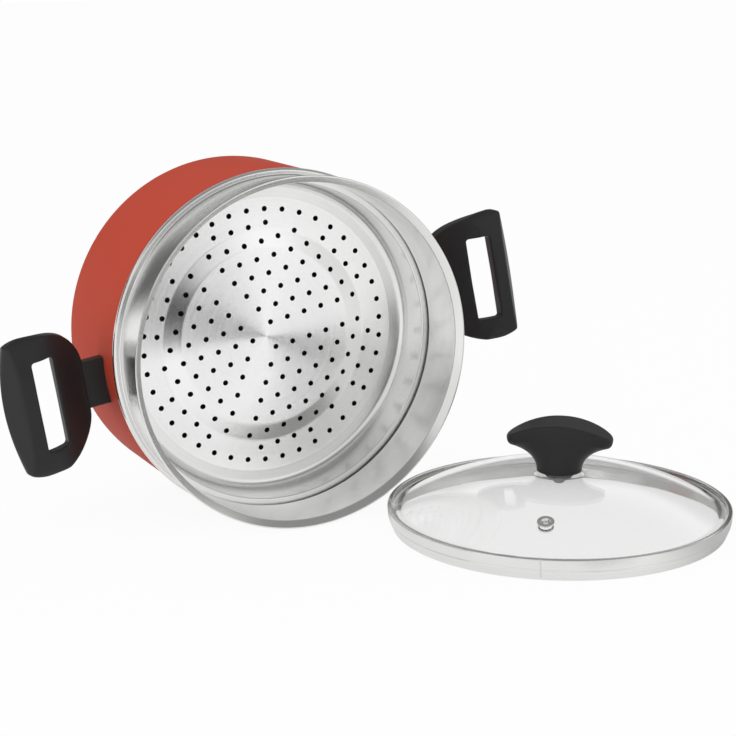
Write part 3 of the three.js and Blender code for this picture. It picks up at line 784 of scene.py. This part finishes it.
def grip_heights(s, x, y):
    """Heights of the handle's upper and lower side at x from the pot's axis and y along the grip.

    Both sides are level at the stub, rise along a Bezier sweep and are level again at the grip.
    Past the ridge the upper side slants down by slope * soft * log(1 + exp((x - ridge) / soft)),
    past the sweep the lower side falls straight to the foot of the skirt, and a soft minimum bends
    the upper side into the quarter ellipses that the grip has at both ends.
    """
    def swept(foot, head):
        start, end = s.sweep_start, s.sweep_end
        curve = bezier((start, foot), (start + s.sweep_foot, foot), (end - s.sweep_head, head),
                       (end, head), steps=60)
        return np.interp(x, curve[:, 0], curve[:, 1])

    bow, soft = s.edge + s.bow, s.ridge_soft
    slant = s.slant / (bow - s.ridge) * soft * np.logaddexp(0, (x - s.ridge) / soft)
    fall = (s.skirt - s.thickness) / (bow + MM - s.sweep_end) * np.maximum(x - s.sweep_end, 0)
    past = np.clip((np.abs(y) - s.crown) / (s.half + s.gap - s.crown), 0, 1)
    ends = s.crown_drop * (np.sqrt(1 - past ** 2) - 1)
    bent = np.logaddexp((slant - swept(-s.stub_drop, 0)) / soft, -ends / soft)
    top = -soft * bent + soft * math.log(2)
    return top, swept(-s.stub_drop - s.stub_height, -s.thickness) - fall


def grip_ring(s):
    """The grip's loop: a rounded section carried round the slot.

    At angle a about the slot's middle the section reaches from the slot's outline to the grip's,
    between the heights of the handle's two sides, and its four edges are quarter rounds.
    """
    centre = np.array([s.slot + s.slot_width / 2, 0.0])
    outer = handle_outline(s)
    inner = box_outline(s.slot, s.slot + s.slot_width, -s.slot_half, s.slot_half, s.slot_corner)
    both = np.r_[polar(outer, centre, GRIP_TURNS)[0], polar(inner, centre, SLOT_TURNS)[0]]
    a = np.unique(both.round(4))[:, None]
    start = np.interp(a, *polar(inner, centre, POLAR_STEPS), period=TURN)
    width = np.interp(a, *polar(outer, centre, POLAR_STEPS), period=TURN) - start

    def heights(out):
        return grip_heights(s, centre[0] + (start + out) * np.cos(a), (start + out) * np.sin(a))

    q = np.linspace(0, math.pi / 2, ROUND_STEPS + 1)[None]
    rise, run = 1 - np.sin(q), 1 - np.cos(q)
    high, low = heights(width)
    soft = np.minimum(s.soft, 0.45 * (high - low))
    crest = (s.ridge - centre[0]) / np.maximum(np.cos(a), 0.01) - start
    crest = np.clip(crest, 2 * s.soft, width - soft - s.soft)
    before, past = s.soft, width - soft
    near = 2 * s.ridge_soft
    t = np.linspace(0, 1, 9)[None]
    across = np.hstack([before + (crest - near - before) * t[:, 1:],
                        crest + near * np.linspace(-0.7, 0.7, 5)[None],
                        crest + near + (past - crest - near) * t[:, :-1]])
    back = past - (past - before) * np.linspace(0, 1, 25)[None, 1:-1]
    upper, lower = 0, 1
    section = (  # places across the loop, the side they lie on and their height above it
        (s.soft * rise + 0 * width, lower, s.soft * run),
        (s.soft * run + 0 * width, upper, -s.soft * rise),
        (across, upper, 0),
        (width - soft * rise, upper, -soft * run),
        (width - soft * run, lower, soft * rise),
        (back, lower, 0),
    )
    out = start + np.hstack([places for places, side, lift in section])
    z = np.hstack([heights(places)[side] + lift for places, side, lift in section])
    points = np.stack([centre[0] + out * np.cos(a), out * np.sin(a), z], axis=-1)
    return points.reshape(-1, 3), grid_faces(*z.shape, close_rows=True)


def stub_bar(s, pot_radius):
    """The stub: a rounded rectangle in (y, z) carried straight along x, with flat ends."""
    high = -s.stub_drop
    section = box_outline(-s.stub_half, s.stub_half, high - s.stub_height, high, s.soft)[:-1]
    count = len(section)
    ends = np.repeat([pot_radius - STUB_SINK, s.belly + STUB_LAP], count)
    points = np.column_stack([ends, np.tile(section, (2, 1))])
    caps = [list(range(count))[::-1], list(range(count, 2 * count))]
    return points, grid_faces(2, count).tolist() + caps


def rod(radius, low, high, steps=SMALL_TURNS):
    """A closed round bar about z."""
    return turned(np.array([(0, low), (radius, low), (radius, high), (0, high)]), steps=steps)


# Shapes of the lid

def dome_height(s, r):
    """Height of the glass's upper face at distance r.

    The dome falls as the square of the distance past its flat land, and a soft maximum bends it
    into the flat edge: z = edge + bend * log(1 + exp((dome - edge) / bend)).
    """
    span = s.glass_edge - s.flat - s.land
    dome = s.rise * (1 - (np.maximum(r - s.land, 0) / span) ** 2)
    return s.glass_top + s.bend * np.logaddexp(0, dome / s.bend)


def glass_shell(s):
    """The lid's glass: its upper face, its rounded edge and its lower face, one profile turned."""
    edge = s.glass_edge - 2 * MM
    r = np.r_[np.linspace(s.bore, s.land, 5), np.linspace(s.land, edge - 12 * MM, 34)[1:],
              np.linspace(edge - 12 * MM, edge, 24)[1:]]
    over = np.column_stack([r, dome_height(s, r)])
    under = over - (0, s.glass)
    low, high, soft = s.glass_top - s.glass, s.glass_top, 1.4 * MM
    ends = rounded([(edge, low, 0), (s.glass_edge, low, soft), (s.glass_edge, high, soft),
                    (edge, high, 0)])
    profile = np.vstack([under, ends[1:-1], over[::-1], under[:1]])
    return turned(profile)


def band_ring(s):
    """The band: one closed profile turned, with a narrow groove across it for its seam.

    At the seam every point is moved in by depth * exp(-(distance from the seam / width) squared).
    """
    waist, foot_in = s.radius - s.waist_inset, s.foot - s.sheet
    ledge_top = s.glass_top - s.glass - GLASS_GAP
    ledge_low = ledge_top - s.sheet
    slope, rake = (waist - s.foot) / s.waist, s.waist_inset / (s.height - s.waist)
    skirt_top, skirt_low = (foot_in + slope * min(z, s.waist) for z in (ledge_top, ledge_low))
    under = s.height - s.sheet
    profile = rounded([
        (foot_in, 0, 0.35 * s.sheet),
        (s.foot, 0, 0.5 * s.sheet),
        (s.foot + slope * (s.waist - s.crease), s.waist - s.crease, 0.6 * s.sheet),
        (waist - s.crease_depth, s.waist, 0.4 * s.sheet),
        (waist + rake * s.crease, s.waist + s.crease, 0.6 * s.sheet),
        (s.radius, s.height, 1.1 * s.sheet),
        (s.radius - s.band_lip, s.height, 0.4 * s.sheet),
        (s.radius - s.band_lip, under, 0.3 * s.sheet),
        (s.radius - s.sheet, under, 0.2 * s.sheet),
        (waist - s.sheet, ledge_top, 0.2 * s.sheet),
        (skirt_top - s.ledge, ledge_top, 0.3 * s.sheet),
        (skirt_low - s.ledge, ledge_low, 0.3 * s.sheet),
        (skirt_low, ledge_low, 0.2 * s.sheet),
    ], closed=True)
    near = np.linspace(-1, 1, 25) * 3 * s.seam_width / s.radius
    even = evenly()
    a = np.r_[near, even[(even > near[-1]) & (even < TURN + near[0])]]
    points, faces = turned(profile, angles=a + s.seam)
    along = np.where(a > math.pi, a - TURN, a) * s.radius
    inset = s.seam_depth * np.exp(-((along / s.seam_width) ** 2))
    shrink = 1 - np.tile(inset, len(profile)) / np.hypot(points[:, 0], points[:, 1])
    return points * np.column_stack([shrink, shrink, np.ones(len(points))]), faces


def on_dome(points, s):
    """Stands a shape made about z on the glass at the vent's place, square to the glass there."""
    step = 0.1 * MM
    fall = (dome_height(s, s.vent - step) - dome_height(s, s.vent + step)) / (2 * step)
    c, n = math.cos(math.atan(fall)), math.sin(math.atan(fall))
    tilted = points @ np.array([[c, 0, -n], [0, 1, 0], [n, 0, c]])
    return turn_about_z(tilted + (s.vent, 0, float(dome_height(s, s.vent))), s.vent_turn)


def vent_eyelet(s):
    """The steam vent: a closed profile with a rounded flange and a funnel into its bore, turned."""
    rise, crown = 0.6 * MM, 1.8 * MM
    profile = rounded([
        (s.vent_bore, -s.vent_foot, 0.2 * MM),
        (s.vent_barrel, -s.vent_foot, 0.2 * MM),
        (s.vent_barrel, rise, 0),
        (s.vent_flange, rise, 0.3 * MM),
        (s.vent_flange, crown, 0.9 * MM),
        (s.vent_barrel, crown, 0.7 * MM),
        (s.vent_bore, rise / 2, 0.5 * MM),
    ], closed=True)
    return turned(profile, steps=SMALL_TURNS)


def knob_body(s):
    """The knob.

    At angle a the foot is a circle, and the rim is the superellipse
    |x/half|^2.5 + |y/depth|^2.5 = 1, lifted to the arch z = height - fall * (x/half)^2. Between
    them the side moves out from foot to rim by the share that a Bezier curve of the stem gives,
    and up by that curve's height. A quarter round leads onto the top.
    """
    a = evenly()
    power = 2 / 2.5
    rim = np.stack([s.half * np.sign(np.cos(a)) * np.abs(np.cos(a)) ** power,
                    s.depth * np.sign(np.sin(a)) * np.abs(np.sin(a)) ** power], axis=-1)
    foot = s.stem * circle(a)
    tip_height = s.height - s.fall
    side = np.vstack([
        bezier((s.stem, 0), (s.stem, s.neck), (s.stem + s.spread, s.under - s.tip_round),
               (s.half - s.tip_round, s.under), steps=20),
        bezier((s.half - s.tip_round, s.under), (s.half, s.under + s.tip_round / 3),
               (s.half, tip_height - s.edge), steps=8)[1:],
    ])
    out = ((side[:, 0] - s.stem) / (s.half - s.stem))[:, None, None]
    up = (side[:, 1] / (tip_height - s.edge))[:, None]

    def arch(x):
        return s.height - s.fall * (x / s.half) ** 2

    flank = foot[None] + (rim - foot)[None] * out
    flank_z = up * (arch(rim[:, 0]) - s.edge)[None]
    q = np.linspace(0, math.pi / 2, ROUND_STEPS + 1)[1:, None]
    reach = np.linalg.norm(rim, axis=1)
    inset = (1 - s.edge * (1 - np.cos(q)) / reach[None])[..., None]
    bend = rim[None] * inset
    bend_z = arch(bend[..., 0]) - s.edge * (1 - np.sin(q))
    cap = bend[-1][None] * np.linspace(1, 0, 15)[1:, None, None]
    base = foot[None] * np.linspace(0, 1, 4)[:-1, None, None]
    plan = np.vstack([base, flank, bend, cap])
    z = np.vstack([0 * base[..., 0], flank_z, bend_z, arch(cap[..., 0])])
    points = np.concatenate([plan, z[..., None]], axis=-1).reshape(-1, 3)
    return turn_about_z(points, s.turned) + (0, 0, s.foot), grid_faces(len(z), TURNS)


# Operators

COVERED = {  # nodes that new pieces replace
    "pot_body", "steamer_insert", "right_handle_grip", "left_handle_grip",
    "lid_glass", "lid_rim_band", "steam_vent_eyelet", "lid_knob",
}


class BuildOperator:
    """What every build step shares."""
    bl_options = {"REGISTER", "UNDO"}

    def execute(self, context):
        self.build(context.scene.steamer_pot)
        return {"FINISHED"}


class STEAMER_OT_pot(BuildOperator, bpy.types.Operator):
    """Build the pot's body"""
    bl_idname = "steamer.pot"
    bl_label = "Pot body"

    def build(self, s):
        piece = new_object("pot_shell", *moved(on_pot, pot_shell(s.pot)))
        red, lining = coated_red(s.finish.red), dark_lining(s.finish.lining)
        base = spun_metal("turned_base", s.finish.base, *POT_AXIS, pitch=700, lean=0.12, rough=0.3)
        dress(piece, "pot", "pot_body", [red, lining, base])


class STEAMER_OT_insert(BuildOperator, bpy.types.Operator):
    """Build the perforated steamer insert"""
    bl_idname = "steamer.insert"
    bl_label = "Steamer insert"

    def build(self, s):
        wall = insert_wall(s.insert)
        wall_points, wall_faces = turned(wall)
        floor_points, floor_faces = perforated_floor(s.insert, wall[0, 0])
        faces = wall_faces.tolist() + [[k + len(wall_points) for k in face] for face in floor_faces]
        finish = [0] * len(wall_faces) + [1] * len(floor_faces)
        points = on_pot(np.vstack([wall_points, floor_points]))
        piece = new_object("steamer_basket", points, faces, finish)
        polished = spun_metal("polished_steel", s.finish.steel, *POT_AXIS,
                              pitch=900, lean=0.1, rough=0.16)
        spun = spun_metal("spun_floor", s.finish.floor, *POT_AXIS, pitch=4000, lean=0.32,
                          rough=0.16, pressed=(s.insert.step, s.insert.step_width))
        dress(piece, "insert", "steamer_insert", [polished, spun], sharp=30)


class STEAMER_OT_handles(BuildOperator, bpy.types.Operator):
    """Build the two loop handles"""
    bl_idname = "steamer.handles"
    bl_label = "Loop handles"

    def build(self, s):
        h = s.handle
        black = moulded_black(s.finish.black)
        for side, roll in (("right", h.right), ("left", math.pi + h.left)):
            def stood(shape):
                return on_pot(turn_about_z(shape[0], roll) + (0, 0, h.face)), shape[1]
            piece = new_object(f"{side}_loop_handle", *stood(grip_ring(h)))
            combine(piece, "UNION", stood(stub_bar(h, s.pot.radius)))
            low = -h.stub_drop - h.stub_height
            recess = rod(h.recess, low - MM, low + h.recess_depth)
            wall = rod(s.pot.radius + h.gap, low - MM, MM, TURNS)
            recess = recess[0] + (h.screw, 0, 0), recess[1]
            combine(piece, "DIFFERENCE", stood(wall), stood(recess))
            dress(piece, "pot", f"{side}_handle_grip", [black])


class STEAMER_OT_glass(BuildOperator, bpy.types.Operator):
    """Build the lid's glass"""
    bl_idname = "steamer.glass"
    bl_label = "Lid glass"

    def build(self, s):
        piece = new_object("glass_dome", *moved(on_lid, glass_shell(s.lid)))
        hole = moved(on_dome, rod(s.lid.vent_hole, -3 * s.lid.glass, 2 * s.lid.glass), s.lid)
        combine(piece, "DIFFERENCE", moved(on_lid, hole))
        dress(piece, "lid", "lid_glass", [clear_glass(s.finish.glass)])


class STEAMER_OT_band(BuildOperator, bpy.types.Operator):
    """Build the steel band round the lid"""
    bl_idname = "steamer.band"
    bl_label = "Lid band"

    def build(self, s):
        piece = new_object("lid_band", *moved(on_lid, band_ring(s.lid)))
        steel = spun_metal("band_steel", s.finish.steel, *LID_AXIS,
                           pitch=1300, lean=0.28, rough=0.14)
        dress(piece, "lid", "lid_rim_band", [steel], sharp=30)


class STEAMER_OT_vent(BuildOperator, bpy.types.Operator):
    """Build the steam vent in the glass"""
    bl_idname = "steamer.vent"
    bl_label = "Steam vent"

    def build(self, s):
        eyelet = moved(on_dome, vent_eyelet(s.lid), s.lid)
        piece = new_object("vent_eyelet", *moved(on_lid, eyelet))
        steel = plain_metal("vent_steel", s.finish.steel, rough=0.12)
        dress(piece, "lid", "steam_vent_eyelet", [steel])


class STEAMER_OT_knob(BuildOperator, bpy.types.Operator):
    """Build the lid's knob"""
    bl_idname = "steamer.knob"
    bl_label = "Lid knob"

    def build(self, s):
        piece = new_object("oval_knob", *moved(on_lid, knob_body(s.knob)))
        dress(piece, "lid", "lid_knob", [moulded_black(s.finish.black)], sharp=50)


class STEAMER_OT_fixings(BuildOperator, bpy.types.Operator):
    """Give the screws, washers, brackets, seal and threaded insert of the frame their finishes"""
    bl_idname = "steamer.fixings"
    bl_label = "Fixings"

    def build(self, s):
        plain = plain_metal("plain_steel", s.finish.plain, rough=0.28)
        finishes = {"knob_threaded_insert": plain_metal("brass", s.finish.brass, rough=0.3),
                    "knob_seal": soft_seal(s.finish.seal)}
        for name in sorted(set(frame["nodes"]) - COVERED):
            materials = frame["nodes"][name].data.materials
            materials.clear()
            materials.append(finishes.get(name, plain))


# Where parts of the room begin and end: metres on the floor, else cosines from a direction
NEAR_FLOOR, FAR_FLOOR = (0.2, 0.4), (0.42, 0.6)
WALL_FOOT, WALL_TOP, CEILING, LOW_DOWN = (0, 0.1), (0.35, 0.5), (0.45, 0.75), (0.06, 0.2)
SCREEN_LEFT, SCREEN_STEP, SCREEN_RIGHT = (-0.68, -0.56), (-0.45, -0.3), (-0.15, -0.03)
RIGHT_SIDE, IN_FRONT, BEHIND = (0.1, 0.38), (0, 0.2), (-0.1, 0.1)
CAMERA_SIDE = math.cos(math.radians(48)), math.cos(math.radians(20))
SECOND_SCREEN = 0.68     # darkness of the screen past its step


class STEAMER_OT_stage(BuildOperator, bpy.types.Operator):
    """Build the floor, the light and the camera"""
    bl_idname = "steamer.stage"
    bl_label = "Stage"

    def build(self, s):
        scene = bpy.context.scene
        scene.view_settings.view_transform = "Standard"
        self.lay_floor(s.stage, POT_ORIGIN + POT_Z * (s.insert.seat - s.insert.depth))
        scene.world = self.studio(s.stage)
        self.lamp("key", *KEY_LAMP, s.stage.key)
        self.lamp("fill", *FILL_LAMP, s.stage.fill)
        scene.camera = self.viewer(s.stage)

    def lay_floor(self, stage, mouth):
        """A pale floor, mostly plain white where the camera sees it, also in steel and glass.

        Reflections show it darker beside the tall light, by bearings from under the basket: painted
        shade, its colour darkened there for reflections only.
        """
        w = stage.floor
        corners = np.array([(-w, -w, 0), (w, -w, 0), (w, w, 0), (-w, w, 0)]) - (0, 0, FLOOR_DROP)
        mesh = bpy.data.meshes.new("floor")
        mesh.from_pydata(corners.tolist(), [], [(0, 1, 2, 3)])
        floor = linked("floor", mesh)
        f = new_finish("pale_floor")
        place = f.place()
        far = f.vector("LENGTH", place, output="Value")
        bearing = f.vector("NORMALIZE", f.vector("SUBTRACT", place, (mouth[0], mouth[1], 0)))
        glossy = self.mirrored(f)
        # painted shade: for reflections only, the far floor's colour is darkened left and right of
        # the tall light, in place of a dark screen and a dim room
        shade = self.sides(f, bearing, stage, f.between(far, *FAR_FLOOR)) * glossy
        level = (0.88 + 0.04 * f.noise(place, 3)) * (1 - shade)
        pale = f.node("BsdfDiffuse", {}, {"Color": f.blend(level, BLACK, WHITE)})
        white = f.node("Emission", {}, {"Color": f.blend(shade, WHITE, BLACK), "Strength": 1.0})
        own = f.between(far, *NEAR_FLOOR, stage.floor_shade, 0) * glossy
        amount = self.seen(f) * (1 - own) * stage.floor_white
        mixed = f.node("MixShader", {}, {0: amount, 1: pale, 2: white})
        f.node("OutputMaterial", {}, {"Surface": mixed})
        mesh.materials.append(f.owner)

    def studio(self, stage):
        """The room: white to the camera, duller in reflections but for the tall light."""
        world = bpy.data.worlds.new("studio")
        f = Finish(world)
        view = f.node("TexCoord", output="Generated")
        up = f.dot(view, (0, 0, 1))
        wall = f.between(up, *WALL_FOOT) * f.between(up, *WALL_TOP, 1, 0) * (1 - stage.horizon)
        over = f.between(up, *CEILING)
        behind = f.between(f.dot(view, (0, 1, 0)), *BEHIND)
        sides = self.sides(f, view, stage, f.between(up, *LOW_DOWN, 1, 0))
        duller = (sides + (wall - sides) * behind) * (1 - over) + (1 - stage.overhead) * over
        facing = f.dot(view, tuple(Vector(stage.camera).normalized()))
        dark = f.between(facing, *CAMERA_SIDE, 1, stage.dark)
        glossy = self.mirrored(f)
        shown = 1 - glossy * (1 - (1 - duller) * dark)
        level = f.between(self.seen(f), 0, 1, stage.sky, 1) * shown
        lit = f.node("Background", {}, {"Color": f.blend(level, BLACK, WHITE), "Strength": 1.0})
        f.node("OutputWorld", {}, {"Surface": lit})
        return world

    def rays(self, f, *kinds):
        return [f.node("LightPath", output=f"Is {kind} Ray") for kind in kinds]

    def seen(self, f):
        """One where the camera looks, straight, in a reflection or through glass."""
        straight, glossy, through = self.rays(f, "Camera", "Glossy", "Transmission")
        clamped = {"operation": "ADD", "use_clamp": True}
        return f.node("Math", clamped, {0: straight + glossy, 1: through})

    def mirrored(self, f):
        """One in a reflection, nought through glass."""
        glossy, through = self.rays(f, "Glossy", "Transmission")
        return glossy * (1 - through)

    def sides(self, f, bearing, stage, low):
        """How much darker a reflection is in a direction: nought in the tall light, or more."""
        ahead = (math.sin(stage.front), -math.cos(stage.front), 0)
        across = (math.cos(stage.front), math.sin(stage.front), 0)
        aside = f.dot(bearing, across)
        dark = f.between(aside, *SCREEN_STEP, 1 - stage.flag, SECOND_SCREEN)
        flag = f.between(aside, *SCREEN_LEFT) * f.between(aside, *SCREEN_RIGHT, 1, 0) * dark * low
        right = f.between(aside, *RIGHT_SIDE, 0, 1 - stage.right)
        return (flag + right) * f.between(f.dot(bearing, ahead), *IN_FRONT)

    def lamp(self, name, place, size, power):
        """A square soft lamp that points at the middle of the set and isn't seen in reflections."""
        light = bpy.data.lights.new(name, "AREA")
        light.energy, light.size = power, size
        lamp = linked(name, light)
        lamp.location = place
        lamp.visible_glossy = False
        way = Vector((0, 0, 0.1)) - Vector(place)
        lamp.rotation_euler = way.to_track_quat("-Z", "Y").to_euler()

    def viewer(self, stage):
        """The camera: leaned about the way it looks, tilted, then turned about the upright."""
        camera = bpy.data.cameras.new("camera")
        camera.lens, camera.sensor_width = stage.lens, SENSOR
        viewer = linked("camera", camera)
        viewer.location = stage.camera
        turns = ((-stage.aim, "Z"), (math.pi / 2 - stage.tilt, "X"), (-stage.lean, "Z"))
        aim, tilt, lean = (Matrix.Rotation(angle, 3, axis) for angle, axis in turns)
        viewer.rotation_euler = (aim @ tilt @ lean).to_euler()
        return viewer


class STEAMER_PT_panel(bpy.types.Panel):
    """Lists the build steps and the settings"""
    bl_label = "Steamer pot"
    bl_idname = "STEAMER_PT_panel"
    bl_space_type = "VIEW_3D"
    bl_region_type = "UI"
    bl_category = "Steamer pot"

    def draw(self, context):
        for step in STEPS:
            self.layout.operator(step.bl_idname)
        settings = context.scene.steamer_pot
        for group in settings.__annotations__:
            box = self.layout.box()
            box.label(text=group.capitalize())
            part = getattr(settings, group)
            for name in part.__annotations__:
                box.prop(part, name)


STEPS = (STEAMER_OT_pot, STEAMER_OT_insert, STEAMER_OT_handles, STEAMER_OT_glass, STEAMER_OT_band,
         STEAMER_OT_vent, STEAMER_OT_knob, STEAMER_OT_fixings, STEAMER_OT_stage)
CLASSES = (PotSizes, InsertSizes, HandleSizes, LidSizes, KnobSizes, Finishes, StageSettings,
           SteamerPotSettings, *STEPS, STEAMER_PT_panel)


def register():
    for kind in CLASSES:
        bpy.utils.register_class(kind)
    bpy.types.Scene.steamer_pot = PointerProperty(type=SteamerPotSettings)


def unregister():
    del bpy.types.Scene.steamer_pot
    for kind in reversed(CLASSES):
        bpy.utils.unregister_class(kind)


def main():
    register()
    bpy.ops.steamer.pot()
    bpy.ops.steamer.insert()
    bpy.ops.steamer.handles()
    bpy.ops.steamer.glass()
    bpy.ops.steamer.band()
    bpy.ops.steamer.vent()
    bpy.ops.steamer.knob()
    bpy.ops.steamer.fixings()
    bpy.ops.steamer.stage()


if __name__ == "__main__":
    main()
